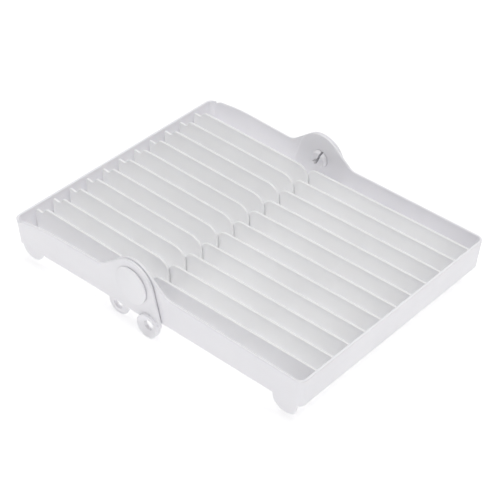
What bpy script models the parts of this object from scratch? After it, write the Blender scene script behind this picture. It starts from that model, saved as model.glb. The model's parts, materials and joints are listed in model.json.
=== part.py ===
"""Folding plate rack: two ribbed trays of white polypropylene on one hinge line.

Units are metres and +Z is up. X runs along the hinge line, the rear tray lies towards
+Y and the front tray towards -Y. The origin is the middle of the rack's box, on the
surface it stands on. Outlines of the side plates are drawn in the (y, z) plane with
the hinge axis at (0, 0), and every height below is measured from that axis.
"""
import math

import bpy
from mathutils import Matrix

# ---------------------------------------------------------------- driving dimensions
VANE_COUNT = 11              # vanes in each tray
PITCH = 0.020                # spacing of the vanes, which is the plate slot
VANE_THICKNESS = 0.0020
VANE_PASS = 0.0005           # room between two vanes that pass as the trays fold
WALL = 0.0025                # thickness of side walls, end walls and hinge ears
SEAM = 0.0003                # clearance between pieces that touch
EDGE_SLOT = 0.0165           # from the front tray's outermost vanes to its side walls
EAR_GAP = 0.0005             # room between a front ear and the rear ear outside it
CLOSE_GAP = 0.0002           # room over the rear end wall when the front tray is folded over it

REAR_LENGTH = 0.1403         # hinge axis to the rear end wall's outer face
REAR_FLARE = 0.0032          # how much further out the rear walls stand at their ends
REAR_BOTTOM = -0.0277
REAR_TOP = 0.0023            # top of the rear side walls
REAR_CORNER = 0.0080         # plan radius of the rear corners
REAR_VANE_TOP_HINGE = 0.0008
REAR_VANE_TOP_END = 0.0021
REAR_TIP = 0.0025            # how far the rear vanes reach past the axis
REAR_TIP_RADIUS = 0.0130
REAR_FOOT_BACK = 0.0223      # foot centre, from the end wall's face
REAR_FOOT_RADIUS = 0.0123
REAR_FOOT_RISE = 0.0024      # foot centre, above the tray's bottom

FRONT_LENGTH = 0.1780
FRONT_FLARE = 0.0009
FRONT_RAISE = 0.0022         # the front tray's bottom is this much higher
FRONT_TOP = 0.0031
FRONT_END_TOP = 0.0027
FRONT_CORNER = 0.0070
FRONT_VANE_TOP_HINGE = -0.0002
FRONT_VANE_TOP_END = 0.0022
FRONT_TIP_RADIUS = 0.0120
FRONT_FOOT_BACK = 0.0170
FRONT_FOOT_RADIUS = 0.0130
FRONT_FOOT_RISE = -0.0005

REAR_EAR_RADIUS = 0.0242
FRONT_EAR_RADIUS = 0.0247
EAR_REACH = 0.0440           # where an ear ends and its side wall begins
EAR_SLOPE = math.radians(38.7)
EAR_FILLET = 0.0120
EAR_LEAN = math.radians(15)  # lean of an ear's free edge, tangent to its hump
LUG_OFFSET = 0.0190          # lug centre, along Y from the axis
LUG_BELOW = 0.0039           # lug centre, below the rear tray's bottom
LUG_RADIUS = 0.0112
LUG_BORE = 0.0047
LUG_LIP = 0.0010             # width of the lug's rim round the sink's mouth
LUG_SINK_FLOOR_RADIUS = 0.0060
LUG_FLOOR = 0.0018           # thickness left under the sink
REAR_LUG_BOSS = 0.0030       # how far a rear lug stands out past its ear
FRONT_LUG_BOSS = 0.0         # the front lugs stay flush, as they pass behind the rear ears

PIN_RADIUS = 0.0078
PIN_CLEARANCE = 0.0003
PIN_BARB = 0.0006            # how far the snap barbs stand out past the shank
PIN_BARB_LENGTH = 0.0035
PIN_SLOT = 0.0022
CAP_RADIUS = 0.0175
CAP_THICK = 0.0019           # thickness at the hinge side's front
CAP_THIN = 0.0005            # thickness at the rear, where the cap runs flush
CAP_ROUNDING = 0.0004

RAIL_HEIGHT = 0.0050
RAIL_THICKNESS = 0.0030
RAIL_OVERHANG = 0.0030       # how far the rear tray's first rail passes its last vanes
REAR_RAILS = (0.0080, 0.0580)            # from the hinge axis
REAR_LAST_RAIL_BACK = 0.0403             # from the end wall's face
FRONT_RAILS = (0.0100, 0.0874)
FRONT_LAST_RAIL_BACK = 0.0132

NOTCH_BACK = 0.0208          # the rear vanes step down here, from the end wall's face
NOTCH_LENGTH = 0.0080
NOTCH_FLOOR = -0.0043
SHOULDER_RISE = 0.0009       # bump where the shoulder meets the end wall
SHOULDER_LENGTH = 0.0050

SIDE_FALL_BACK = 0.0523      # the rear side walls' tops fall gently from here to the end
SIDE_FALL = 0.0032
SIDE_NOSE_RADIUS = 0.0140
SIDE_NOSE_ANGLE = math.radians(45)

ARC_STEP = math.radians(12)
LUG_SIDES = 32
PIN_SIDES = 48
MERGE = 0.00001

# ---------------------------------------------------------------- derived places
VANE_STAGGER = VANE_THICKNESS + VANE_PASS    # the rear vanes stand this far to -X
MIDDLE = (VANE_COUNT + 1) / 2
ROW_HALF = PITCH * (VANE_COUNT - 1) / 2 + VANE_THICKNESS / 2
FRONT_HALF_WIDTH = ROW_HALF + EDGE_SLOT + WALL
REAR_HALF_WIDTH = FRONT_HALF_WIDTH + EAR_GAP + WALL
REAR_END_TOP = -FRONT_TOP - CLOSE_GAP
FRONT_BOTTOM = REAR_BOTTOM + FRONT_RAISE
REAR_FOOT = (REAR_LENGTH - REAR_FOOT_BACK, REAR_FOOT_RADIUS, REAR_FOOT_RISE)
FRONT_FOOT = (FRONT_LENGTH - FRONT_FOOT_BACK, FRONT_FOOT_RADIUS, FRONT_FOOT_RISE)
LUG_DROP = LUG_BELOW - REAR_BOTTOM
LUG_SOCKET = LUG_RADIUS + SEAM
LUG_SINK_RADIUS = LUG_RADIUS - LUG_LIP
HINGE_HEIGHT = LUG_DROP + LUG_RADIUS
HINGE_Y = (FRONT_LENGTH - REAR_LENGTH) / 2
PIN_BORE = PIN_RADIUS + PIN_CLEARANCE
CAP_TILT = math.atan((CAP_THICK - CAP_THIN) / (2 * CAP_RADIUS))
NOTCH_START = REAR_LENGTH - NOTCH_BACK
SIDE_FALL_START = REAR_LENGTH - SIDE_FALL_BACK


def clear_scene():
    """Remove every object that the new scene started with."""
    for obj in list(bpy.data.objects):
        bpy.data.objects.remove(obj, do_unlink=True)


def new_collection(name):
    """Make a collection and link it to the scene."""
    collection = bpy.data.collections.new(name)
    bpy.context.scene.collection.children.link(collection)
    return collection


def plastic(name, colour, roughness):
    """Moulded polypropylene of one colour."""
    material = bpy.data.materials.new(name)
    material.use_nodes = True
    shader = material.node_tree.nodes["Principled BSDF"]
    shader.inputs["Base Color"].default_value = (*colour, 1.0)
    shader.inputs["Roughness"].default_value = roughness
    shader.inputs["Metallic"].default_value = 0.0
    return material


# ---------------------------------------------------------------- outline helpers
def arc(centre, radius, start, end):
    """Points on a circle from one angle to another, both ends included."""
    count = max(2, math.ceil(abs(end - start) / ARC_STEP))
    angles = [start + (end - start) * i / count for i in range(count + 1)]
    return [(centre[0] + radius * math.cos(a), centre[1] + radius * math.sin(a)) for a in angles]


def s_curve(start, end):
    """Two equal arcs, level at both ends, that join two heights."""
    run = end[0] - start[0]
    fall = start[1] - end[1]
    turn = 2 * math.atan(fall / run)
    radius = run / (2 * math.sin(turn))
    first = arc((start[0], start[1] - radius), radius, math.pi / 2, math.pi / 2 - turn)
    last = arc((end[0], end[1] + radius), radius, -math.pi / 2 - turn, -math.pi / 2)
    return first + last[1:]


def mirrored(outline):
    """The same outline with y turned round, for the front tray."""
    return [(-y, z) for y, z in reversed(outline)]


def ear_outline(radius, top, bottom):
    """A hinge ear: hump over the axis, leaning free edge and a socket that its lug ring fills."""
    hump = arc((0.0, 0.0), radius, math.pi - EAR_LEAN, math.pi / 2 - EAR_SLOPE)
    edge_start, hump_end = hump[0], hump[-1]
    heel_y = edge_start[0] - (edge_start[1] - bottom) * math.tan(EAR_LEAN)
    corner_y = hump_end[0] + (hump_end[1] - top) / math.tan(EAR_SLOPE)
    fillet_y = corner_y + EAR_FILLET * math.tan(EAR_SLOPE / 2)
    fillet = arc((fillet_y, top + EAR_FILLET), EAR_FILLET, -math.pi / 2 - EAR_SLOPE, -math.pi / 2)
    shore = math.asin((bottom + LUG_DROP) / LUG_SOCKET)
    socket = arc((-LUG_OFFSET, -LUG_DROP), LUG_SOCKET, shore, math.pi - shore)
    return hump + fillet + [(EAR_REACH, top), (EAR_REACH, bottom)] + socket + [(heel_y, bottom)]


def foot_arc(foot, bottom, end_drop=0.0):
    """The round foot under a side wall, from its near side to its far side."""
    y, radius, rise = foot
    centre = (y, bottom + rise)
    near = math.pi + math.asin(rise / radius)
    far = 2 * math.pi - math.asin((rise + end_drop) / radius)
    return arc(centre, radius, near, far)


def rear_side_outline():
    """The rear side wall: level, then a slow fall and a rounded nose beside the corner."""
    end = REAR_LENGTH - REAR_CORNER - SEAM
    nose_start = end - SIDE_NOSE_RADIUS * math.sin(SIDE_NOSE_ANGLE)
    run = nose_start - SIDE_FALL_START
    sweep = 2 * math.atan(SIDE_FALL / run)
    fall_radius = run / math.sin(sweep)
    fall = arc((SIDE_FALL_START, REAR_TOP - fall_radius), fall_radius,
               math.pi / 2, math.pi / 2 - sweep)
    tip = fall[-1]
    centre = (tip[0], tip[1] - SIDE_NOSE_RADIUS)
    nose = arc(centre, SIDE_NOSE_RADIUS, math.pi / 2, math.pi / 2 - SIDE_NOSE_ANGLE)
    bottom = [(end, REAR_BOTTOM)] + list(reversed(foot_arc(REAR_FOOT, REAR_BOTTOM)))
    start = EAR_REACH + SEAM
    return [(start, REAR_BOTTOM), (start, REAR_TOP)] + fall + nose[1:] + bottom


def front_side_outline():
    """The front side wall, drawn towards +Y; its foot reaches a little past its end."""
    start = EAR_REACH + SEAM
    end = FRONT_LENGTH - FRONT_CORNER - SEAM
    foot = foot_arc(FRONT_FOOT, FRONT_BOTTOM, SEAM)
    under = FRONT_BOTTOM - SEAM
    top = [(start, FRONT_BOTTOM), (start, FRONT_TOP), (end, FRONT_TOP)]
    return top + [(end, under)] + list(reversed(foot))


def rear_vane_outline():
    """A rear vane: large round tip over the axis, sloping top, step down to a low shoulder."""
    radius = REAR_TIP_RADIUS
    base = REAR_BOTTOM + RAIL_HEIGHT + SEAM
    tip = arc((radius - REAR_TIP, REAR_VANE_TOP_HINGE - radius), radius, math.pi, math.pi / 2)
    floor_y = NOTCH_START + NOTCH_LENGTH
    step = s_curve((NOTCH_START, REAR_VANE_TOP_END), (floor_y, NOTCH_FLOOR))
    bump = (floor_y + SHOULDER_LENGTH, NOTCH_FLOOR + SHOULDER_RISE)
    end = REAR_LENGTH - WALL - SEAM
    return [(-REAR_TIP, base)] + tip + step + [bump, (end, bump[1]), (end, base)]


def front_vane_outline():
    """A front vane, drawn towards +Y: round tip at the axis and a top that climbs to the end."""
    radius = FRONT_TIP_RADIUS
    base = FRONT_BOTTOM + RAIL_HEIGHT + SEAM
    tip = arc((radius, FRONT_VANE_TOP_HINGE - radius), radius, math.pi, math.pi / 2)
    end = FRONT_LENGTH - WALL - SEAM
    return [(0.0, base)] + tip + [(end, FRONT_VANE_TOP_END), (end, base)]


def end_wall_outline(length, half_width, radius):
    """Plan of an end wall that turns both corners, drawn towards +Y."""
    centre = (half_width - radius, length - radius)
    outer = arc(centre, radius, 0.0, math.pi / 2)
    inner = arc(centre, radius - WALL, 0.0, math.pi / 2)
    other_outer = [(-x, y) for x, y in reversed(outer)]
    other_inner = [(-x, y) for x, y in inner]
    return outer + other_outer + other_inner + list(reversed(inner))


# ---------------------------------------------------------------- object helpers
def flat_curve(name, outlines, thickness, finish, collection):
    """A flat outline, with holes if it has more than one, given a thickness."""
    curve = bpy.data.curves.new(name, "CURVE")
    curve.dimensions = "2D"
    curve.fill_mode = "BOTH"
    curve.extrude = thickness / 2
    for outline in outlines:
        spline = curve.splines.new("POLY")
        spline.points.add(len(outline) - 1)
        for point, (u, v) in zip(spline.points, outline):
            point.co = (u, v, 0.0, 1.0)
        spline.use_cyclic_u = True
    curve.materials.append(finish)
    obj = bpy.data.objects.new(name, curve)
    collection.objects.link(obj)
    return obj


def side_plate(name, outlines, x, thickness, finish, collection, parent):
    """A plate that stands across X, drawn in (y, z) about the hinge axis."""
    obj = flat_curve(name, outlines, thickness, finish, collection)
    obj.rotation_euler = (math.pi / 2, 0.0, math.pi / 2)
    obj.location = (x, 0.0, 0.0)
    obj.parent = parent
    return obj


def box(name, centre, size, finish, collection, parent):
    """A rectangular bar placed by its centre."""
    bpy.ops.mesh.primitive_cube_add(size=1.0)
    obj = bpy.context.active_object
    obj.name = name
    obj.data.name = name
    obj.data.transform(Matrix.Diagonal((*size, 1.0)))
    obj.location = centre
    obj.parent = parent
    obj.data.materials.append(finish)
    move_to(obj, collection)
    return obj


def move_to(obj, collection):
    """Keep an object in one collection only."""
    for owner in list(obj.users_collection):
        owner.objects.unlink(obj)
    collection.objects.link(obj)


def turned(name, profile, steps, finish, collection):
    """A profile of (radius, height) points turned about the local Z axis."""
    mesh = bpy.data.meshes.new(name)
    points = [(r, 0.0, z) for r, z in profile]
    edges = [(i, i + 1) for i in range(len(points) - 1)]
    mesh.from_pydata(points, edges, [])
    mesh.materials.append(finish)
    obj = bpy.data.objects.new(name, mesh)
    collection.objects.link(obj)
    screw = obj.modifiers.new("Turn", "SCREW")
    screw.axis = "Z"
    screw.steps = steps
    screw.render_steps = steps
    screw.use_merge_vertices = True
    screw.merge_threshold = MERGE
    return obj


class RackBuilder:
    """Holds the collections, the finishes and the two empties that carry the trays."""

    def __init__(self, parts, cutters):
        self.parts = parts
        self.cutters = cutters
        self.wall_finish = plastic("white_pp_wall", (0.80, 0.79, 0.83), 0.42)
        self.vane_finish = plastic("white_pp_vane", (0.75, 0.75, 0.76), 0.45)
        self.pin_finish = plastic("white_pp_pin", (0.80, 0.79, 0.83), 0.38)
        self.rear = self.pivot("rear_tray_pivot")
        self.front = self.pivot("front_tray_pivot")

    def pivot(self, name):
        """An empty on the hinge axis that a tray is parented to."""
        empty = bpy.data.objects.new(name, None)
        empty.location = (0.0, HINGE_Y, HINGE_HEIGHT)
        self.parts.objects.link(empty)
        return empty

    def build(self):
        """Both trays, then the two snap pins that join them."""
        self.end_walls()
        for side, word in ((-1, "near"), (1, "far")):
            self.ears(side, word)
            self.side_walls(side, word)
            self.lugs(side, word)
            self.pin(side, word)
        self.vanes()
        self.rails()

    def end_walls(self):
        """One wall across each tray that also turns its two corners."""
        trays = (
            ("rear_end_wall", self.rear, 1, REAR_LENGTH, REAR_HALF_WIDTH + REAR_FLARE,
             REAR_CORNER, REAR_BOTTOM, REAR_END_TOP),
            ("front_end_wall", self.front, -1, FRONT_LENGTH, FRONT_HALF_WIDTH + FRONT_FLARE,
             FRONT_CORNER, FRONT_BOTTOM, FRONT_END_TOP),
        )
        for name, parent, facing, length, half, corner, bottom, top in trays:
            outline = end_wall_outline(length, half, corner)
            obj = flat_curve(name, [outline], top - bottom, self.wall_finish, self.parts)
            obj.location = (0.0, 0.0, (top + bottom) / 2)
            if facing < 0:
                obj.rotation_euler = (0.0, 0.0, math.pi)
            obj.parent = parent

    def ears(self, side, word):
        """A bored ear for each tray; the front one stands inside the rear one."""
        bore = arc((0.0, 0.0), PIN_BORE, 0.0, 2 * math.pi)[:-1]
        rear = ear_outline(REAR_EAR_RADIUS, REAR_TOP, REAR_BOTTOM)
        front = mirrored(ear_outline(FRONT_EAR_RADIUS, FRONT_TOP, FRONT_BOTTOM))
        side_plate(f"rear_hinge_ear_{word}", [rear, bore], side * (REAR_HALF_WIDTH - WALL / 2),
                   WALL, self.wall_finish, self.parts, self.rear)
        side_plate(f"front_hinge_ear_{word}", [front, bore], side * (FRONT_HALF_WIDTH - WALL / 2),
                   WALL, self.wall_finish, self.parts, self.front)

    def side_walls(self, side, word):
        """Side walls with their feet, turned out a little so that each tray flares."""
        walls = (
            (f"rear_side_wall_{word}", rear_side_outline(), self.rear, 1, REAR_HALF_WIDTH,
             REAR_FLARE, REAR_LENGTH - REAR_CORNER),
            (f"front_side_wall_{word}", mirrored(front_side_outline()), self.front, -1,
             FRONT_HALF_WIDTH, FRONT_FLARE, FRONT_LENGTH - FRONT_CORNER),
        )
        for name, outline, parent, facing, half, flare, end in walls:
            lean = math.atan(flare / (end - EAR_REACH))
            at_axis = half - WALL / 2 - EAR_REACH * math.tan(lean)
            wall = side_plate(name, [outline], side * at_axis, WALL, self.wall_finish,
                              self.parts, parent)
            wall.rotation_euler = (math.pi / 2, 0.0, math.pi / 2 - side * facing * lean)

    def lugs(self, side, word):
        """The ringed lugs under the ears, each with a cone sunk into its outer face."""
        trays = (
            (f"rear_lug_{word}", self.rear, -1, REAR_HALF_WIDTH, REAR_LUG_BOSS),
            (f"front_lug_{word}", self.front, 1, FRONT_HALF_WIDTH, FRONT_LUG_BOSS),
        )
        for name, parent, along, half, boss in trays:
            mouth = WALL + boss
            profile = [
                (LUG_BORE, 0.0),
                (LUG_BORE, LUG_FLOOR),
                (LUG_SINK_FLOOR_RADIUS, LUG_FLOOR),
                (LUG_SINK_RADIUS, mouth),
                (LUG_RADIUS, mouth),
                (LUG_RADIUS, 0.0),
                (LUG_BORE, 0.0),
            ]
            lug = turned(name, profile, LUG_SIDES, self.wall_finish, self.parts)
            lug.location = (side * (half - WALL), along * LUG_OFFSET, -LUG_DROP)
            lug.rotation_euler = (0.0, side * math.pi / 2, 0.0)
            lug.parent = parent

    def pin(self, side, word):
        """A snap pin: broad cap outside the rear ear, split and barbed shank through both."""
        grip = 2 * WALL + EAR_GAP + 2 * SEAM
        end = grip + PIN_BARB_LENGTH
        profile = [
            (0.0, CAP_THICK),
            (CAP_RADIUS - CAP_ROUNDING, CAP_THICK),
            (CAP_RADIUS, CAP_THICK - CAP_ROUNDING),
            (CAP_RADIUS, 0.0),
            (PIN_RADIUS, 0.0),
            (PIN_RADIUS, -grip),
            (PIN_RADIUS + PIN_BARB, -grip),
            (PIN_RADIUS + PIN_BARB, -grip - PIN_BARB),
            (PIN_RADIUS - PIN_BARB, -end),
            (0.0, -end),
        ]
        pin = turned(f"snap_pin_{word}", profile, PIN_SIDES, self.pin_finish, self.parts)
        pin.location = (side * (REAR_HALF_WIDTH + SEAM), 0.0, 0.0)
        pin.rotation_euler = (0.0, side * math.pi / 2, 0.0)
        pin.parent = self.rear
        self.split(pin, word, end)
        self.slope_cap(pin, word)

    def split(self, pin, word, end):
        """Two crossed slots from the shank's inner end, which let its prongs spring."""
        for number, turn in enumerate((math.pi / 4, -math.pi / 4)):
            slot = box(f"slot_{word}_{number}", (0.0, 0.0, -SEAM - (WALL + end) / 2),
                       (PIN_SLOT, 2 * CAP_RADIUS, end), self.pin_finish, self.cutters, pin)
            slot.rotation_euler = (0.0, 0.0, turn)
            self.cut(pin, slot)

    def slope_cap(self, pin, word):
        """Plane the cap's face off at a slant, so that it runs flush towards the rear."""
        middle = (CAP_THICK + CAP_THIN) / 2
        rise = middle + CAP_RADIUS / 2 / math.cos(CAP_TILT)
        plane = box(f"cap_plane_{word}", (0.0, 0.0, rise),
                    (3 * CAP_RADIUS, 3 * CAP_RADIUS, CAP_RADIUS),
                    self.pin_finish, self.cutters, pin)
        plane.rotation_euler = (-CAP_TILT, 0.0, 0.0)
        self.cut(pin, plane)

    @staticmethod
    def cut(target, cutter):
        """Take a cutter away from a piece."""
        cutter.hide_render = True
        cutter.display_type = "WIRE"
        boolean = target.modifiers.new(f"Cut {cutter.name}", "BOOLEAN")
        boolean.operation = "DIFFERENCE"
        boolean.solver = "EXACT"
        boolean.object = cutter

    def vanes(self):
        """The rows of vanes that hold the plates apart."""
        rear = rear_vane_outline()
        front = mirrored(front_vane_outline())
        for number in range(1, VANE_COUNT + 1):
            x = PITCH * (number - MIDDLE)
            side_plate(f"rear_vane_{number:02d}", [rear], x - VANE_STAGGER, VANE_THICKNESS,
                       self.vane_finish, self.parts, self.rear)
            side_plate(f"front_vane_{number:02d}", [front], x, VANE_THICKNESS,
                       self.vane_finish, self.parts, self.front)

    def rails(self):
        """Low bars under the vanes; all but the rear tray's first reach the side walls."""
        rear_lean = REAR_FLARE / (REAR_LENGTH - REAR_CORNER - EAR_REACH)
        front_lean = FRONT_FLARE / (FRONT_LENGTH - FRONT_CORNER - EAR_REACH)
        rear_rails = (*REAR_RAILS, REAR_LENGTH - REAR_LAST_RAIL_BACK)
        front_rails = (*FRONT_RAILS, FRONT_LENGTH - FRONT_LAST_RAIL_BACK)
        for number, y in enumerate(rear_rails, start=1):
            first = number == 1
            inner = REAR_HALF_WIDTH - WALL + max(0.0, y - EAR_REACH) * rear_lean - 2 * SEAM
            half = ROW_HALF + RAIL_OVERHANG if first else inner
            self.rail(f"rear_rail_{number}", -VANE_STAGGER if first else 0.0, y, half,
                      REAR_BOTTOM, self.rear)
        for number, y in enumerate(front_rails, start=1):
            inner = FRONT_HALF_WIDTH - WALL + max(0.0, y - EAR_REACH) * front_lean - 2 * SEAM
            self.rail(f"front_rail_{number}", 0.0, -y, inner, FRONT_BOTTOM, self.front)

    def rail(self, name, x, y, half, bottom, parent):
        """One cross rail that stands on the tray's bottom plane."""
        centre = (x, y, bottom + RAIL_HEIGHT / 2)
        size = (2 * half, RAIL_THICKNESS, RAIL_HEIGHT)
        box(name, centre, size, self.vane_finish, self.parts, parent)


def main():
    """Build the rack."""
    clear_scene()
    parts = new_collection("folding_plate_rack")
    cutters = new_collection("cutters")
    RackBuilder(parts, cutters).build()


if __name__ == "__main__":
    main()
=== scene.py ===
"""White folding plate rack, moulded in polypropylene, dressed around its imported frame.

The frame gives every place and most sizes: the hinge axis, the trays' boxes, the lugs and
the pins. Each class below makes the fine shape of one sub-assembly from those and from the
radii in its own fields. Lengths are metres. A tray is drawn in its own directions, with Y
from the hinge axis towards its end wall and Z up from the axis, and is then put in place.
"""
from __future__ import annotations

import json
import logging
import math
from dataclasses import dataclass, field
from enum import Enum
from typing import Any, Callable, Iterable

import bmesh
import bpy
from mathutils import Matrix, Vector

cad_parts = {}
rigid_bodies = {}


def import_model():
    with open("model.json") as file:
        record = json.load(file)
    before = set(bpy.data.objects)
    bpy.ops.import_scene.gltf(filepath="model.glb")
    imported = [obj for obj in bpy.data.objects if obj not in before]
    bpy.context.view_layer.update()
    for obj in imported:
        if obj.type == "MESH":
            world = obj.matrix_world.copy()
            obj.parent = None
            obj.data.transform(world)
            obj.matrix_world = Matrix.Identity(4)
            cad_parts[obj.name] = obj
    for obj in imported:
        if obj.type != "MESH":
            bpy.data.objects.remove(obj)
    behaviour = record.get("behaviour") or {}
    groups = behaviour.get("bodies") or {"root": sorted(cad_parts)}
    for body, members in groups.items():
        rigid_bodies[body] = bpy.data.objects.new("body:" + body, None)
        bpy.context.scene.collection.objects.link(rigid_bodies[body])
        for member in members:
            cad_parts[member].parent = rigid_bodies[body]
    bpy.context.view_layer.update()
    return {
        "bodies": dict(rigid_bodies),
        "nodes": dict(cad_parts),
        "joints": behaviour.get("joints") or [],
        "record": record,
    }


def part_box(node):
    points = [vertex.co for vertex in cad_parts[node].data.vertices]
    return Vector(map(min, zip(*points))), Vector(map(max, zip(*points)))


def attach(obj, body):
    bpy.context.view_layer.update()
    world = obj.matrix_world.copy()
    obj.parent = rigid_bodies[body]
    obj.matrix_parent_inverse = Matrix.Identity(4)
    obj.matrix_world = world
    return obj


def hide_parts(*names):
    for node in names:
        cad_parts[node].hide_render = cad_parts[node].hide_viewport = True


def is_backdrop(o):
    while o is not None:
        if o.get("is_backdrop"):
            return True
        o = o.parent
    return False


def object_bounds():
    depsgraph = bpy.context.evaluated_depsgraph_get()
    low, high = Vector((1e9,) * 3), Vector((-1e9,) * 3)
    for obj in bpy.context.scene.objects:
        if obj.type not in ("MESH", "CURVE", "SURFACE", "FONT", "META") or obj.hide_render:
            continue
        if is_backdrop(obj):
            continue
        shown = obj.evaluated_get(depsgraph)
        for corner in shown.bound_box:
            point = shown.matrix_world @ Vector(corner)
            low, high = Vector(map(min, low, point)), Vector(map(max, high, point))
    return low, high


LOG = logging.getLogger("plate_rack")

Point = tuple[float, float]
Frame = dict[str, Any]

MM = 0.001
ARC_STEP = math.radians(5)
WELD = 0.00001               # points nearer than this are one
CUT_SNAP = WELD / 10
OVERLAP = 0.0006             # how far pieces of one moulding run into each other
QUARTER = math.pi / 2
RIM_STEPS = 2                # points that round a plate's rim
BAR_STEPS = 3                # faces that round a bar's edge
CREASE = math.radians(38)    # an edge sharper than this stays sharp


class Side(Enum):
    """The two ends of the hinge line."""

    NEAR = -1
    FAR = 1

    @property
    def word(self) -> str:
        """The word that node names end in."""
        return self.name.lower()


class Facing(Enum):
    """Which way a tray runs from the hinge axis."""

    REAR = 1
    FRONT = -1

    @property
    def body(self) -> str:
        """The name of the tray's body in the frame."""
        return self.name.lower()


# ------------------------------------------------------------------ colours and nodes
def linear(hex_colour: str) -> tuple[float, float, float, float]:
    """Turn an sRGB hex colour into linear values.

    Args:
        hex_colour: A colour such as "#F2F2F4".

    Returns:
        Red, green, blue and an alpha of one.
    """
    parts = [int(hex_colour[i:i + 2], 16) / 255 for i in (1, 3, 5)]
    red, green, blue = (c / 12.92 if c <= 0.04045 else ((c + 0.055) / 1.055) ** 2.4 for c in parts)
    return red, green, blue, 1.0


def add_node(tree: bpy.types.NodeTree, kind: str, settings: dict[str, Any] | None = None,
             inputs: dict[str | int, Any] | None = None) -> bpy.types.Node:
    """Add a node with its settings, its input values and its links.

    Args:
        tree: The tree that gets the node.
        kind: Blender's identifier of the node type.
        settings: Attributes of the node.
        inputs: A value, or another node's output socket, for each input named.

    Returns:
        The new node.
    """
    node = tree.nodes.new(kind)
    for name, value in (settings or {}).items():
        setattr(node, name, value)
    for name, value in (inputs or {}).items():
        if isinstance(value, bpy.types.NodeSocket):
            tree.links.new(value, node.inputs[name])
        else:
            node.inputs[name].default_value = value
    return node


@dataclass(frozen=True)
class MouldedPolypropylene:
    """Natural white polypropylene, injection moulded in a finely spark-eroded mould.

    The eye gets a soft satin: the wall is slightly milky and lets light in, the mould's
    grain breaks up the highlight, and the wall dips a little where the resin shrank.
    """

    name: str
    colour: str = "#F5F4F8"
    deep_colour: str = "#F2F1F5"      # where the wall reads a shade thicker
    tint_span: tuple[float, float] = (0.35, 0.65)   # flow values of the deep and the plain colour
    roughness: float = 0.40
    roughness_spread: float = 0.07
    ior: float = 1.49                 # polypropylene
    grain_mm: float = 0.9             # true grit is near 0.1 mm, drawn coarser so that it shows
    grain_depth_mm: float = 0.012
    grain_detail: float = 3.0
    grain_strength: float = 0.8
    flow_mm: float = 34.0             # length of the shrinkage dips and the flow marks
    flow_stretch: tuple[float, float, float] = (1.0, 0.35, 1.0)   # longer along the vanes
    flow_depth_mm: float = 0.10
    flow_detail: float = 2.0
    flow_strength: float = 0.6
    milk: float = 0.20                # share of light that enters the wall
    milk_radius_mm: tuple[float, float, float] = (2.4, 2.3, 2.2)

    def build(self) -> bpy.types.Material:
        """Make the material.

        Returns:
            The material.
        """
        material = bpy.data.materials.new(self.name)
        material.use_nodes = True
        tree = material.node_tree
        tree.nodes.clear()
        place = add_node(tree, "ShaderNodeTexCoord").outputs["Object"]
        patterns = []
        for size_mm, stretch, detail in (
            (self.flow_mm, self.flow_stretch, self.flow_detail),
            (self.grain_mm, (1.0, 1.0, 1.0), self.grain_detail),
        ):
            scale = tuple(part / (size_mm * MM) for part in stretch)
            spread = add_node(tree, "ShaderNodeMapping", inputs={"Vector": place, "Scale": scale})
            noise = add_node(tree, "ShaderNodeTexNoise", inputs={
                "Vector": spread.outputs["Vector"], "Scale": 1.0, "Detail": detail})
            patterns.append(noise.outputs["Fac"])
        flow, grain = patterns
        tint = add_node(tree, "ShaderNodeValToRGB", inputs={"Fac": flow})
        for stop, position, colour in zip(
                tint.color_ramp.elements, self.tint_span, (self.deep_colour, self.colour)):
            stop.position = position
            stop.color = linear(colour)
        sheen = add_node(tree, "ShaderNodeMapRange", inputs={
            "Value": grain, "To Min": self.roughness - self.roughness_spread,
            "To Max": self.roughness + self.roughness_spread})
        dips = add_node(tree, "ShaderNodeBump", inputs={
            "Height": flow, "Distance": self.flow_depth_mm * MM,
            "Strength": self.flow_strength})
        grit = add_node(tree, "ShaderNodeBump", inputs={
            "Height": grain, "Distance": self.grain_depth_mm * MM,
            "Strength": self.grain_strength, "Normal": dips.outputs["Normal"]})
        shader = add_node(tree, "ShaderNodeBsdfPrincipled", inputs={
            "Base Color": tint.outputs["Color"], "Roughness": sheen.outputs["Result"],
            "IOR": self.ior, "Metallic": 0.0, "Normal": grit.outputs["Normal"],
            "Subsurface Weight": self.milk, "Subsurface Scale": MM,
            "Subsurface Radius": self.milk_radius_mm})
        add_node(tree, "ShaderNodeOutputMaterial", inputs={"Surface": shader.outputs["BSDF"]})
        return material


@dataclass(frozen=True)
class OpalAcrylic:
    """Opal acrylic sheet, matt and lit evenly from below, which leaves no shadow on it."""

    name: str = "opal_acrylic_table"
    colour: str = "#FAFAFA"
    roughness: float = 0.9
    glow: float = 0.31

    def build(self) -> bpy.types.Material:
        """Make the material.

        Returns:
            The material.
        """
        material = bpy.data.materials.new(self.name)
        material.use_nodes = True
        tree = material.node_tree
        tree.nodes.clear()
        shader = add_node(tree, "ShaderNodeBsdfPrincipled", inputs={
            "Base Color": linear(self.colour), "Roughness": self.roughness,
            "Emission Color": linear(self.colour), "Emission Strength": self.glow})
        add_node(tree, "ShaderNodeOutputMaterial", inputs={"Surface": shader.outputs["BSDF"]})
        return material


# ------------------------------------------------------------------ outlines and meshes
def arc(centre: Point, radius: float, start: float, end: float) -> list[Point]:
    """Points on a circle from one angle to another.

    Args:
        centre: The circle's centre.
        radius: Its radius.
        start: First angle, in radians.
        end: Last angle, in radians.

    Returns:
        The points, both ends included.
    """
    count = max(2, math.ceil(abs(end - start) / ARC_STEP))
    angles = [start + (end - start) * i / count for i in range(count + 1)]
    return [(centre[0] + radius * math.cos(a), centre[1] + radius * math.sin(a)) for a in angles]


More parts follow.
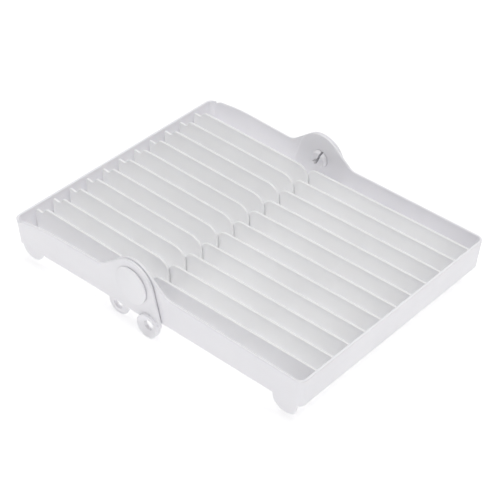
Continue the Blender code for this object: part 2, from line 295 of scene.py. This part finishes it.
def s_curve(start: Point, end: Point) -> list[Point]:
    """Two equal arcs, level at both ends, that join two heights.

    Args:
        start: The higher end.
        end: The lower end.

    Returns:
        The points, both ends included.
    """
    run = end[0] - start[0]
    turn = 2 * math.atan((start[1] - end[1]) / run)
    radius = run / (2 * math.sin(turn))
    first = arc((start[0], start[1] - radius), radius, QUARTER, QUARTER - turn)
    last = arc((end[0], end[1] + radius), radius, -QUARTER - turn, -QUARTER)
    return first + last[1:]


def take_mesh(source: bpy.types.Object, name: str) -> bpy.types.Mesh:
    """Turn an evaluated object into a plain mesh and remove the object.

    Args:
        source: The object, with its modifiers or its curve.
        name: Name of the mesh.

    Returns:
        The mesh, with the object's place in it.
    """
    bpy.context.view_layer.update()
    depsgraph = bpy.context.evaluated_depsgraph_get()
    mesh = bpy.data.meshes.new_from_object(source.evaluated_get(depsgraph))
    mesh.transform(source.matrix_world)
    mesh.name = name
    bpy.data.objects.remove(source, do_unlink=True)
    return mesh


def mesh_object(name: str, mesh: bpy.types.Mesh) -> bpy.types.Object:
    """Link a mesh to the scene as an object at the origin.

    Args:
        name: Name of the object.
        mesh: Its mesh, with its place in it.

    Returns:
        The object.
    """
    obj = bpy.data.objects.new(name, mesh)
    bpy.context.scene.collection.objects.link(obj)
    return obj


def rounded_plate(name: str, outlines: Iterable[list[Point]], thickness: float,
                  rim: float) -> bpy.types.Mesh:
    """A flat plate with rounded rims, drawn in X and Y around Z = 0.

    Args:
        name: Name of the mesh.
        outlines: The outer outline, then any holes.
        thickness: Thickness of the plate.
        rim: Radius of its rims.

    Returns:
        The plate's closed mesh.
    """
    curve = bpy.data.curves.new(name, "CURVE")
    curve.dimensions = "2D"
    curve.fill_mode = "BOTH"
    curve.extrude = thickness / 2 - rim
    curve.bevel_depth = rim
    curve.bevel_resolution = RIM_STEPS
    curve.offset = -rim
    for outline in outlines:
        spline = curve.splines.new("POLY")
        spline.points.add(len(outline) - 1)
        for point, (u, v) in zip(spline.points, outline):
            point.co = (u, v, 0.0, 1.0)
        spline.use_cyclic_u = True
    holder = bpy.data.objects.new(name, curve)
    bpy.context.scene.collection.objects.link(holder)
    mesh = take_mesh(holder, name)
    shape = bmesh.new()
    shape.from_mesh(mesh)
    bmesh.ops.remove_doubles(shape, verts=shape.verts, dist=WELD)
    bmesh.ops.recalc_face_normals(shape, faces=shape.faces)
    shape.to_mesh(mesh)
    shape.free()
    return mesh


def turned_mesh(name: str, profile: Iterable[Point], sides: int) -> bpy.types.Mesh:
    """Turn a profile of (radius, height) points about Z.

    Args:
        name: Name of the mesh.
        profile: The points, from the top of the axis down the outer side.
        sides: Steps in a full turn.

    Returns:
        The closed mesh.
    """
    shape = bmesh.new()
    verts = [shape.verts.new((r, 0.0, z)) for r, z in profile]
    edges = [shape.edges.new(pair) for pair in zip(verts, verts[1:])]
    bmesh.ops.spin(shape, geom=verts + edges, cent=(0, 0, 0), axis=(0, 0, 1),
                   angle=2 * math.pi, steps=sides, use_duplicate=False)
    bmesh.ops.remove_doubles(shape, verts=shape.verts, dist=WELD)
    bmesh.ops.recalc_face_normals(shape, faces=shape.faces)
    mesh = bpy.data.meshes.new(name)
    shape.to_mesh(mesh)
    shape.free()
    return mesh


def bend(mesh: bpy.types.Mesh, stations: Iterable[float],
         place: Callable[[Vector], Vector]) -> None:
    """Cut a plate across at some stations along X, then move each point to its place.

    Args:
        mesh: The plate, changed where it is.
        stations: Values of X where the plate has to be able to bend.
        place: Gives each point of the plate its new place.
    """
    shape = bmesh.new()
    shape.from_mesh(mesh)
    for station in stations:
        everything = shape.verts[:] + shape.edges[:] + shape.faces[:]
        bmesh.ops.bisect_plane(shape, geom=everything, dist=CUT_SNAP,
                               plane_co=(station, 0, 0), plane_no=(1, 0, 0))
    for vert in shape.verts:
        vert.co = place(vert.co)
    bmesh.ops.recalc_face_normals(shape, faces=shape.faces)
    shape.to_mesh(mesh)
    shape.free()


def smooth(obj: bpy.types.Object) -> bpy.types.Object:
    """Shade an object smooth, with flat faces kept flat beside rounded rims.

    Args:
        obj: The object to shade, which is removed.

    Returns:
        A new object that holds the shaded mesh.
    """
    obj.data.shade_smooth()
    obj.data.set_sharp_from_angle(angle=CREASE)
    weighted = obj.modifiers.new("Flat faces", "WEIGHTED_NORMAL")
    weighted.keep_sharp = True
    name = obj.name
    mesh = take_mesh(obj, name)
    return mesh_object(name, mesh)


def finish_piece(mesh: bpy.types.Mesh, name: str, body: str,
                 finish: bpy.types.Material, replaced: Iterable[str]) -> bpy.types.Object:
    """Shade a mesh, dress it and tie it to the frame.

    Args:
        mesh: The piece's mesh, in the frame's directions.
        name: Name of the piece.
        body: Body that it rides on.
        finish: Its material.
        replaced: The frame's nodes that it stands for.

    Returns:
        The finished piece.
    """
    piece = smooth(mesh_object(name, mesh))
    piece.name = name
    piece.data.materials.clear()
    piece.data.materials.append(finish)
    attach(piece, body)
    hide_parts(*replaced)
    LOG.info("%s: %d faces on body %s", name, len(piece.data.polygons), body)
    return piece


# ------------------------------------------------------------------ the trays
@dataclass(frozen=True)
class Stretch:
    """A straight or round stretch of a wall's plan."""

    start: Point
    heading: float
    length: float
    turn: float = 0.0            # total change of heading, positive to the left

    def at(self, distance: float) -> tuple[Point, float]:
        """Point and heading at a distance along the stretch.

        Args:
            distance: Distance from the stretch's start.

        Returns:
            The point, and the heading there in radians.
        """
        if not self.turn:
            return (self.start[0] + distance * math.cos(self.heading),
                    self.start[1] + distance * math.sin(self.heading)), self.heading
        radius = self.length / self.turn
        heading = self.heading + distance / radius
        return (self.start[0] + radius * (math.sin(heading) - math.sin(self.heading)),
                self.start[1] - radius * (math.cos(heading) - math.cos(self.heading))), heading


@dataclass
class WallPlan:
    """Plan of a tray's wall: out along the near side, across the end and back.

    Distances run along the outer face, from the hinge axis on the near side.
    """

    half_width: float
    flare: float                 # how much further out the side stands at the corner
    length: float
    corner: float                # radius of the corners
    reach: float                 # where the ear ends and the flare begins
    stretches: list[Stretch] = field(default_factory=list)

    def __post_init__(self) -> None:
        """Lay the stretches one after the other."""
        knee = (-self.half_width, self.reach)
        centre = (self.corner - self.half_width - self.flare, self.length - self.corner)
        across = (centre[0] - knee[0], centre[1] - knee[1])
        distance = math.hypot(*across)
        heading = math.atan2(across[1], across[0]) + math.asin(self.corner / distance)
        side = math.sqrt(distance ** 2 - self.corner ** 2)
        plan = ((self.reach, QUARTER, 0.0), (side, heading, 0.0),
                (self.corner * heading, heading, -heading), (-2 * centre[0], 0.0, 0.0),
                (self.corner * heading, 0.0, -heading), (side, -heading, 0.0),
                (self.reach, -QUARTER, 0.0))
        start: Point = (-self.half_width, 0.0)
        for length, first, turn in plan:
            stretch = Stretch(start, first, length, turn)
            self.stretches.append(stretch)
            start = stretch.at(length)[0]

    @property
    def total(self) -> float:
        """Distance from one end of the hinge axis round to the other."""
        return sum(stretch.length for stretch in self.stretches)

    def corner_start(self) -> float:
        """Distance at which the near corner begins."""
        return self.stretches[0].length + self.stretches[1].length

    def stations(self) -> list[float]:
        """Distances at which the wall has to be able to bend.

        Returns:
            The distances, in order, without the wall's own start.
        """
        found: list[float] = []
        passed = 0.0
        for stretch in self.stretches:
            found.append(passed)
            steps = math.ceil(abs(stretch.turn) / ARC_STEP)
            found.extend(passed + stretch.length * i / steps for i in range(1, steps))
            passed += stretch.length
        return found[1:]

    def at(self, distance: float) -> tuple[Point, Point]:
        """Point on the outer face, and the outward direction there.

        Args:
            distance: Distance along the plan.

        Returns:
            The point and the direction.
        """
        rest = distance
        chosen = self.stretches[-1]
        for stretch in self.stretches:
            chosen = stretch
            if rest <= stretch.length or stretch is self.stretches[-1]:
                break
            rest -= stretch.length
        point, heading = chosen.at(rest)
        return point, (-math.sin(heading), math.cos(heading))


@dataclass
class Tray:
    """One ribbed tray: its wall, lugs, vanes and rails."""

    frame: Frame
    wall_finish: bpy.types.Material
    vane_finish: bpy.types.Material
    facing: Facing
    corner: float                    # plan radius of the corners
    foot: Point                      # centre of the round feet, from the axis and the bottom
    foot_radius: float
    tip_radius: float                # round end of the vanes over the hinge
    tip_overlap: float               # how far that end passes the vanes of the other tray
    vane_tops: Point                 # height of the vane tops at the tip and at the far end
    socket: float                    # radius that the ear leaves free around a lug
    wall: float = 2.5 * MM
    rim: float = 0.85 * MM           # rounding of the walls' and rails' edges
    vane_rim: float = 0.85 * MM      # rounding of the vanes' edges
    vane_swell: float = 0.15 * MM    # a vane face's fullness over the plain plate
    vane_depth: float = 4.5 * MM     # how far the vanes reach down past the rails' tops
    side_draft: float = math.tan(math.radians(3.0))   # drafts are slopes that free the mould
    end_draft: float = math.tan(math.radians(3.0))
    vane_draft: float = math.tan(math.radians(0.1))
    reach: float = 44.0 * MM         # an ear's length beyond the axis
    slope: float = math.radians(38.7)   # of the ear's shoulder
    fillet: float = 12.0 * MM        # where the shoulder runs out into the wall
    lean: float = math.radians(15)   # an ear's free edge
    bore: float = 7.9 * MM           # radius of the pin's bore
    sink_floor: float = 6.0 * MM     # radius of that web
    sink_mouth: float = 10.2 * MM    # radius at which the cone meets a lug's outer face
    lug_floor: float = 3.2 * MM      # web round a lug's bore, proud of the thin front lugs
    lug_bore: float = 4.7 * MM
    lug_edge: float = 0.35 * MM
    lug_sides: int = 72

    def __post_init__(self) -> None:
        """Read the tray's places from the frame."""
        joint = Vector(self.frame["joints"][0]["pos_m"])
        self.axis = joint
        self.body = self.facing.body
        end_low, end_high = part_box(f"{self.body}_end_wall")
        ear_low, ear_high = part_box(f"{self.body}_hinge_ear_far")
        side_low, side_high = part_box(f"{self.body}_side_wall_far")
        lug_low, lug_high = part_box(f"{self.body}_lug_far")
        vane_low, vane_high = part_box(f"{self.body}_vane_01")
        self.half_width = ear_high.x
        self.flare = end_high.x - ear_high.x
        self.length = max(abs(end_low.y - joint.y), abs(end_high.y - joint.y))
        self.bottom = end_low.z - joint.z
        self.end_top = end_high.z - joint.z
        self.top = side_high.z - joint.z
        self.ear_radius = ear_high.z - joint.z
        self.lug_radius = (lug_high.z - lug_low.z) / 2
        self.lug_drop = joint.z - (lug_high.z + lug_low.z) / 2
        self.lug_offset = abs((lug_high.y + lug_low.y) / 2 - joint.y)
        self.lug_mouth = lug_high.x - lug_low.x
        self.vane_first = (vane_low.x + vane_high.x) / 2
        self.vane_thickness = vane_high.x - vane_low.x
        self.vane_base = vane_low.z - joint.z
        lap = min(self.facing.value * (y - joint.y) for y in (vane_low.y, vane_high.y))
        self.vane_tip = self.tip_overlap - lap
        names = [n for n in self.frame["nodes"] if n.startswith(f"{self.body}_vane")]
        self.vane_nodes = sorted(names)
        next_low, next_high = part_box(self.vane_nodes[1])
        self.pitch = (next_low.x + next_high.x) / 2 - self.vane_first
        names = [n for n in self.frame["nodes"] if n.startswith(f"{self.body}_rail")]
        self.rail_nodes = sorted(names)
        self.plan = WallPlan(self.half_width, self.flare, self.length, self.corner, self.reach)

    def build(self) -> None:
        """Make every piece of the tray."""
        self.build_wall()
        for side in Side:
            self.build_lug(side)
        self.build_vanes()
        self.build_rails()

    def put(self, x: float, y: float, z: float) -> Vector:
        """Turn a point of the tray's own directions into the frame's."""
        return self.axis + Vector((x, self.facing.value * y, z))

    # -------------------------------------------------------------- wall
    def ear_top(self) -> list[Point]:
        """An ear's outline from its heel over the hump to where it is level.

        Returns:
            The points, as distance from the axis and height.
        """
        hump = arc((0.0, 0.0), self.ear_radius, math.pi - self.lean, QUARTER - self.slope)
        start, end = hump[0], hump[-1]
        heel = start[0] - (start[1] - self.bottom) * math.tan(self.lean)
        corner = end[0] + (end[1] - self.top) / math.tan(self.slope)
        middle = corner + self.fillet * math.tan(self.slope / 2)
        dip = arc((middle, self.top + self.fillet), self.fillet, -QUARTER - self.slope, -QUARTER)
        return [(heel, self.bottom)] + hump + dip

    def wall_top(self) -> list[Point]:
        """The top of the side wall and of half the end wall, towards the middle."""
        raise NotImplementedError

    def underside(self) -> list[Point]:
        """The bottom of half the wall, from the middle back to the ear's heel.

        Returns:
            The points, as distance along the plan and height.
        """
        offset = self.foot[0]
        centre = (offset, self.bottom + self.foot[1])
        slant = math.asin(self.foot[1] / self.foot_radius)
        foot = arc(centre, self.foot_radius, -slant, slant - math.pi)
        shore = math.asin((self.bottom + self.lug_drop) / self.socket)
        lug = arc((-self.lug_offset, -self.lug_drop), self.socket, shore, math.pi - shore)
        return [(self.plan.total / 2, self.bottom)] + foot + lug

    def outline(self) -> list[Point]:
        """The whole wall, unrolled.

        Returns:
            The points, as distance along the plan and height.
        """
        half = self.underside() + self.ear_top() + self.wall_top()
        total = self.plan.total
        return half + [(total - s, z) for s, z in reversed(half)]

    def build_wall(self) -> None:
        """The wall that runs from ear to ear round the end of the tray."""
        ends = (0.0, self.plan.total)
        bores = [arc((x, 0.0), self.bore, 0.0, 2 * math.pi)[:-1] for x in ends]
        mesh = rounded_plate(f"{self.body}_wall", [self.outline(), *bores], self.wall, self.rim)
        bend(mesh, self.plan.stations(), self.wall_point)
        nodes = [f"{self.body}_end_wall"]
        for side in Side:
            nodes += [f"{self.body}_side_wall_{side.word}", f"{self.body}_hinge_ear_{side.word}"]
        finish_piece(mesh, f"{self.body}_tray_wall", self.body,
                     self.wall_finish, nodes)

    def wall_point(self, flat: Vector) -> Vector:
        """Where a point of the unrolled wall lies; its foot stands further in than its top.

        Args:
            flat: The point: distance along the plan, height, and depth through the wall.

        Returns:
            Its place in the frame.
        """
        point, out = self.plan.at(flat.x)
        side = self.fade(point[1]) * abs(out[0]) * self.side_draft * (self.top - flat.y)
        end = out[1] * self.end_draft * (self.end_top - flat.y)
        depth = flat.z - self.wall / 2 - side - end
        return self.put(point[0] + depth * out[0], point[1] + depth * out[1], flat.y)

    def fade(self, y: float) -> float:
        """Share of the draft at a distance from the axis: none at the ears, all at the end."""
        share = min(1.0, max(0.0, (y - self.reach) / (self.length - self.corner - self.reach)))
        return share * share * (3 - 2 * share)

    # -------------------------------------------------------------- lugs
    def build_lug(self, side: Side) -> None:
        """A ringed lug under an ear, with a cone between its web and its outer face.

        Args:
            side: The end of the hinge line that it stands at.
        """
        node = f"{self.body}_lug_{side.word}"
        low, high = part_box(node)
        mouth = self.lug_mouth
        edge = self.lug_edge
        profile = [
            (self.lug_bore, 0.0),
            (self.lug_bore, self.lug_floor - edge),
            (self.lug_bore + edge, self.lug_floor),
            (self.sink_floor, self.lug_floor),
            (self.sink_mouth - edge, mouth - edge),
            (self.sink_mouth, mouth),
            (self.lug_radius - edge, mouth),
            (self.lug_radius, mouth - edge),
            (self.lug_radius, edge),
            (self.lug_radius - edge, 0.0),
            (self.lug_bore, 0.0),
        ]
        mesh = turned_mesh(node, profile, self.lug_sides)
        inner = low.x if side is Side.FAR else high.x
        turn = Matrix.Rotation(side.value * QUARTER, 4, "Y")
        shift = Matrix.Translation((inner, (low.y + high.y) / 2, (low.z + high.z) / 2))
        mesh.transform(shift @ turn)
        finish_piece(mesh, f"{self.body}_lug_ring_{side.word}", self.body,
                     self.wall_finish, [node])

    # -------------------------------------------------------------- vanes
    def vane_outline(self) -> list[Point]:
        """A vane's side view."""
        raise NotImplementedError

    def build_vanes(self) -> None:
        """The row of vanes, repeated by one node tree."""
        name = f"{self.body}_vanes"
        full = self.vane_thickness + 2 * self.vane_swell
        mesh = rounded_plate(name, [self.vane_outline()], full, self.vane_rim)
        bend(mesh, [], self.vane_point)
        first = mesh_object(name, mesh)
        row = RibRow(len(self.vane_nodes), self.pitch, self.vane_finish)
        mesh = row.repeat(first, name)
        finish_piece(mesh, f"{self.body}_vane_row", self.body,
                     self.vane_finish, self.vane_nodes)

    def vane_point(self, flat: Vector) -> Vector:
        """Where a point of the first vane lies; vanes are a little thicker at their feet."""
        spread = 1 + 2 * self.vane_draft * (self.top - flat.y) / self.vane_thickness
        return self.put(self.vane_first + flat.z * spread, flat.x, flat.y)

    # -------------------------------------------------------------- rails
    def build_rails(self) -> None:
        """Low bars under the vanes."""
        for node in self.rail_nodes:
            low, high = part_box(node)
            shape = bmesh.new()
            bmesh.ops.create_cube(shape, size=1.0)
            mesh = bpy.data.meshes.new(node)
            shape.to_mesh(mesh)
            shape.free()
            size = high - low + Vector((2 * OVERLAP, 0.0, 0.0))
            mesh.transform(Matrix.Translation((low + high) / 2) @ Matrix.Diagonal((*size, 1.0)))
            holder = mesh_object(node, mesh)
            rounding = holder.modifiers.new("Rounding", "BEVEL")
            rounding.width = self.rim
            rounding.segments = BAR_STEPS
            name = node.replace("rail", "cross_rail")
            finish_piece(take_mesh(holder, name), name, self.body,
                         self.vane_finish, [node])


@dataclass
class RearTray(Tray):
    """The wider, shorter tray, whose end wall is low so that the other one closes over it."""

    facing: Facing = Facing.REAR
    corner: float = 8.0 * MM
    foot: Point = (118.0 * MM, 2.4 * MM)
    foot_radius: float = 12.3 * MM
    tip_radius: float = 13.0 * MM
    tip_overlap: float = 1.1 * MM
    vane_tops: Point = (0.8 * MM, 2.1 * MM)
    socket: float = 9.0 * MM
    end_draft: float = math.tan(math.radians(7.8))   # the end wall leans well outwards
    fall_start: float = 88.0 * MM    # where the side walls' tops begin to fall
    fall: float = 3.2 * MM
    nose_radius: float = 14.0 * MM
    nose_angle: float = math.radians(45)
    notch_start: float = 119.5 * MM  # where the vanes step down
    notch_length: float = 9.0 * MM
    notch_floor: float = -4.2 * MM
    shoulder: Point = (4.0 * MM, 0.5 * MM)   # run and rise of the shoulder behind the step
    shoulder_gap: float = 2.8 * MM   # between a shoulder's end and the top of the end wall
    shoulder_round: float = 1.5 * MM

    def wall_top(self) -> list[Point]:
        """Level, a slow fall, a rounded nose beside the corner, then the low end wall.

        Returns:
            The points, as distance along the plan and height.
        """
        end = self.plan.corner_start()
        nose_start = end - self.nose_radius * math.sin(self.nose_angle)
        run = nose_start - self.fall_start
        sweep = 2 * math.atan(self.fall / run)
        radius = run / math.sin(sweep)
        slow = arc((self.fall_start, self.top - radius), radius, QUARTER, QUARTER - sweep)
        tip = slow[-1]
        nose = arc((tip[0], tip[1] - self.nose_radius), self.nose_radius,
                   QUARTER, QUARTER - self.nose_angle)
        rise = (end + self.rim, self.end_top)
        return slow + nose[1:] + [rise, (self.plan.total / 2, self.end_top)]

    def vane_outline(self) -> list[Point]:
        """Large round tip, sloping top, and a step down to a low shoulder.

        Returns:
            The points, as distance from the axis and height.
        """
        radius = self.tip_radius
        base = self.vane_base - self.vane_depth
        tip = arc((radius - self.vane_tip, self.vane_tops[0] - radius), radius, math.pi, QUARTER)
        floor = self.notch_start + self.notch_length
        step = s_curve((self.notch_start, self.vane_tops[1]), (floor, self.notch_floor))
        bump = (floor + self.shoulder[0], self.notch_floor + self.shoulder[1])
        end = self.length - self.wall - self.shoulder_gap
        corner = arc((end - self.shoulder_round, bump[1] - self.shoulder_round),
                     self.shoulder_round, QUARTER, 0.0)
        return [(-self.vane_tip, base)] + tip + step + [bump] + corner + [(end, base)]


@dataclass
class FrontTray(Tray):
    """The longer, narrower tray, with a full end wall."""

    facing: Facing = Facing.FRONT
    corner: float = 7.0 * MM
    foot: Point = (161.0 * MM, -0.5 * MM)
    foot_radius: float = 13.0 * MM
    tip_radius: float = 12.0 * MM
    tip_overlap: float = 0.2 * MM
    vane_tops: Point = (-0.2 * MM, 2.2 * MM)
    socket: float = 10.8 * MM

    def wall_top(self) -> list[Point]:
        """Level all the way."""
        end = self.plan.corner_start()
        return [(end, self.top), (self.plan.total / 2, self.end_top)]

    def vane_outline(self) -> list[Point]:
        """Round tip and a top that climbs to the end wall.

        Returns:
            The points, as distance from the axis and height.
        """
        radius = self.tip_radius
        base = self.vane_base - self.vane_depth
        tip = arc((radius - self.vane_tip, self.vane_tops[0] - radius), radius, math.pi, QUARTER)
        end = self.length - self.wall + OVERLAP
        return [(-self.vane_tip, base)] + tip + [(end, self.vane_tops[1]), (end, base)]


@dataclass
class RibRow:
    """A node tree that repeats one rib along X."""

    count: int
    pitch: float
    finish: bpy.types.Material

    def tree(self) -> bpy.types.GeometryNodeTree:
        """Build the tree, with named inputs for the rib, the count, the pitch and the finish.

        Returns:
            The tree.
        """
        tree = bpy.data.node_groups.new("rib_row", "GeometryNodeTree")
        wanted = (("Rib", "NodeSocketGeometry"), ("Count", "NodeSocketInt"),
                  ("Pitch", "NodeSocketFloat"), ("Finish", "NodeSocketMaterial"))
        for name, kind in wanted:
            tree.interface.new_socket(name, in_out="INPUT", socket_type=kind)
        tree.interface.new_socket("Row", in_out="OUTPUT", socket_type="NodeSocketGeometry")
        given = add_node(tree, "NodeGroupInput").outputs
        step = add_node(tree, "ShaderNodeCombineXYZ", inputs={"X": given["Pitch"]})
        line = add_node(tree, "GeometryNodeMeshLine", {"mode": "OFFSET"},
                        {"Count": given["Count"], "Offset": step.outputs["Vector"]})
        ribs = add_node(tree, "GeometryNodeInstanceOnPoints",
                        inputs={"Points": line.outputs["Mesh"], "Instance": given["Rib"]})
        real = add_node(tree, "GeometryNodeRealizeInstances",
                        inputs={"Geometry": ribs.outputs["Instances"]})
        dressed = add_node(tree, "GeometryNodeSetMaterial", inputs={
            "Geometry": real.outputs["Geometry"], "Material": given["Finish"]})
        add_node(tree, "NodeGroupOutput", inputs={"Row": dressed.outputs["Geometry"]})
        return tree

    def repeat(self, rib: bpy.types.Object, name: str) -> bpy.types.Mesh:
        """Run the tree on a rib.

        Args:
            rib: The first rib, which is removed.
            name: Name of the row's mesh.

        Returns:
            The row as a plain mesh.
        """
        tree = self.tree()
        sockets = {item.name: item.identifier for item in tree.interface.items_tree
                   if item.in_out == "INPUT"}
        modifier = rib.modifiers.new("Row", "NODES")
        modifier.node_group = tree
        modifier[sockets["Count"]] = self.count
        modifier[sockets["Pitch"]] = self.pitch
        modifier[sockets["Finish"]] = self.finish
        return take_mesh(rib, name)


# ------------------------------------------------------------------ the snap pins
@dataclass
class SnapPin:
    """A pin that joins the trays: broad cap outside, split and barbed shank inside."""

    side: Side
    frame: Frame
    finish: bpy.types.Material
    shank: float = 7.8 * MM          # radius
    barb: float = 0.8 * MM           # how far the barbs stand out past the shank
    barb_length: float = 3.5 * MM
    cap_thick: float = 2.4 * MM      # towards the front
    cap_thin: float = 0.3 * MM       # towards the rear, where the cap runs flush
    undercut: Point = (1.2 * MM, 1.0 * MM)   # depth and height of the gap under the cap's rim
    rounding: float = 0.7 * MM       # of the cap's edge
    slot: float = 2.1 * MM           # width of the slot right across the prongs
    side_slot: float = 1.3 * MM      # width of the slot to one side
    slot_turn: float = math.radians(110.5)
    side_slot_turn: float = math.radians(-29.0)
    sides: int = 96

    def build(self) -> None:
        """Make the pin and put it on the hinge axis."""
        node = f"snap_pin_{self.side.word}"
        low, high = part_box(node)
        cap = (high.z - low.z) / 2
        ear_low, ear_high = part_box(f"rear_hinge_ear_{self.side.word}")
        seat = ear_high.x if self.side is Side.FAR else ear_low.x
        inner_end = low.x if self.side is Side.FAR else high.x
        end = abs(seat - inner_end)
        grip = end - self.barb_length
        centre = (cap - self.rounding, self.cap_thick - self.rounding)
        edge = arc(centre, self.rounding, QUARTER, 0.0)
        profile = [(0.0, self.cap_thick)] + edge + [
            (cap, self.undercut[1]),
            (cap - self.undercut[0], self.undercut[1]),
            (cap - self.undercut[0], 0.0),
            (self.shank, 0.0),
            (self.shank, -grip),
            (self.shank + self.barb, -grip),
            (self.shank + self.barb, -grip - self.barb),
            (self.shank - self.barb, -end),
            (0.0, -end),
        ]
        mesh = turned_mesh(node, profile, self.sides)
        for vert in mesh.vertices:
            if vert.co.z > 0:
                vert.co.z *= self.cap_share(vert.co.y, cap)
        holder = mesh_object(node, mesh)
        cutters = [self.cutter(self.slot_turn, self.slot, -cap, cap, end),
                   self.cutter(self.side_slot_turn, self.side_slot, 0.0, cap, end)]
        for cutter in cutters:
            cut = holder.modifiers.new("Slot", "BOOLEAN")
            cut.operation = "DIFFERENCE"
            cut.object = cutter
        mesh = take_mesh(holder, node)
        for cutter in cutters:
            bpy.data.objects.remove(cutter, do_unlink=True)
        turn = Matrix.Rotation(self.side.value * QUARTER, 4, "Y")
        axis = Vector(self.frame["joints"][0]["pos_m"])
        mesh.transform(Matrix.Translation((seat, axis.y, axis.z)) @ turn)
        finish_piece(mesh, f"hinge_pin_{self.side.word}", "rear",
                     self.finish, [node])

    def cap_share(self, y: float, cap: float) -> float:
        """How thick the cap is at a place, as a share of its thickest.

        Args:
            y: The place, from the pin's axis towards the rear.
            cap: Radius of the cap.

        Returns:
            The share.
        """
        along = (cap - y) / (2 * cap)
        thickness = self.cap_thin + (self.cap_thick - self.cap_thin) * along
        return thickness / self.cap_thick

    def cutter(self, turn: float, width: float, first: float, last: float,
               end: float) -> bpy.types.Object:
        """A cutter for a slot in the shank's inner end.

        Args:
            turn: Direction of the slot about the pin's axis.
            width: Width of the slot.
            first: Where the slot begins along its direction.
            last: Where it ends.
            end: Length of the shank.

        Returns:
            The cutter's object.
        """
        shape = bmesh.new()
        bmesh.ops.create_cube(shape, size=1.0)
        mesh = bpy.data.meshes.new("slot")
        shape.to_mesh(mesh)
        shape.free()
        size = Matrix.Diagonal((width, last - first, end, 1.0))
        place = Matrix.Translation((0.0, (first + last) / 2, -end / 2 - self.slot))
        mesh.transform(Matrix.Rotation(turn, 4, "Z") @ place @ size)
        return mesh_object("slot", mesh)


# ------------------------------------------------------------------ the studio
@dataclass(frozen=True)
class SoftLight:
    """A large, far soft box. Azimuth runs from +X towards +Y, all angles in degrees."""

    name: str
    azimuth: float
    elevation: float
    strength: float
    spread: float = 40.0
    colour: str = "#FFFFFF"

    def build(self) -> bpy.types.Object:
        """Hang the light and aim it at the rack.

        Returns:
            The light's object.
        """
        lamp = bpy.data.lights.new(self.name, "SUN")
        lamp.angle = math.radians(self.spread)
        lamp.energy = self.strength
        lamp.color = linear(self.colour)[:3]
        obj = bpy.data.objects.new(self.name, lamp)
        obj.rotation_euler = (0.0, math.radians(90 - self.elevation), math.radians(self.azimuth))
        bpy.context.scene.collection.objects.link(obj)
        return obj


@dataclass
class Studio:
    """A lit table, soft light and the camera."""

    frame: Frame
    floor_size: float = 60.0
    floor_gap: float = 0.2 * MM      # keeps the feet clear of the table top
    sky: str = "#FFFFFF"
    sky_strength: float = 0.20
    lens: float = 116.05
    sensor: float = 36.0
    lights: tuple[SoftLight, ...] = (
        SoftLight("top_box", azimuth=0.0, elevation=90.0, strength=0.62),
        SoftLight("front_box", azimuth=270.0, elevation=58.0, strength=0.50),
        SoftLight("near_box", azimuth=180.0, elevation=30.0, strength=0.48),
        SoftLight("far_box", azimuth=0.0, elevation=45.0, strength=0.95),
        SoftLight("rear_box", azimuth=90.0, elevation=58.0, strength=0.35),
    )
    stand: tuple[float, float, float] = (-0.8192, -0.7161, 0.8476)   # camera from the hinge axis
    right: tuple[float, float, float] = (0.66079, -0.75024, 0.02225)
    up: tuple[float, float, float] = (0.46174, 0.42970, 0.77599)

    def build(self) -> None:
        """Make the floor, the lights and the camera."""
        self.build_floor()
        self.build_sky()
        for light in self.lights:
            light.build()
        self.build_camera()

    def build_floor(self) -> None:
        """A wide lit table top just under the rack."""
        low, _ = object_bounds()
        half = self.floor_size / 2
        mesh = bpy.data.meshes.new("table_top")
        corners = [(-half, -half), (half, -half), (half, half), (-half, half)]
        mesh.from_pydata([(x, y, low.z - self.floor_gap) for x, y in corners], [], [(0, 1, 2, 3)])
        mesh.materials.append(OpalAcrylic().build())
        mesh_object("table_top", mesh)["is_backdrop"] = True

    def build_sky(self) -> None:
        """Even light from all round."""
        world = bpy.data.worlds.new("studio_sky")
        world.use_nodes = True
        background = world.node_tree.nodes["Background"]
        background.inputs["Color"].default_value = linear(self.sky)
        background.inputs["Strength"].default_value = self.sky_strength
        bpy.context.scene.world = world

    def build_camera(self) -> None:
        """The camera, aimed by its own axes."""
        camera = bpy.data.cameras.new("camera")
        camera.lens = self.lens
        camera.sensor_width = self.sensor
        obj = bpy.data.objects.new("camera", camera)
        right, up = Vector(self.right).normalized(), Vector(self.up).normalized()
        back = right.cross(up)
        turn = Matrix((right, up, back)).transposed()
        place = Vector(self.frame["joints"][0]["pos_m"]) + Vector(self.stand)
        obj.matrix_world = Matrix.Translation(place) @ turn.to_4x4()
        bpy.context.scene.collection.objects.link(obj)
        bpy.context.scene.camera = obj


def main() -> None:
    """Load the frame and build the rack around it."""
    logging.basicConfig(level=logging.INFO, format="%(name)s: %(message)s")
    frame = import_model()
    bpy.context.scene.view_settings.view_transform = "Standard"
    wall = MouldedPolypropylene("moulded_polypropylene_wall").build()
    # The vanes and rails get a lighter copy of the wall's polypropylene: painted light that lifts
    # the shade falling in the deep slots between the vanes.
    vane = MouldedPolypropylene("moulded_polypropylene_vane", colour="#FBFBFC",
                                deep_colour="#F9F9FA", flow_mm=26.0).build()
    pin = MouldedPolypropylene("moulded_polypropylene_pin", colour="#F9F8FC",
                               deep_colour="#F6F5F9", roughness=0.34, flow_mm=15.0).build()
    RearTray(frame, wall, vane).build()
    FrontTray(frame, wall, vane).build()
    for side in Side:
        SnapPin(side, frame, pin).build()
    Studio(frame).build()


if __name__ == "__main__":
    main()
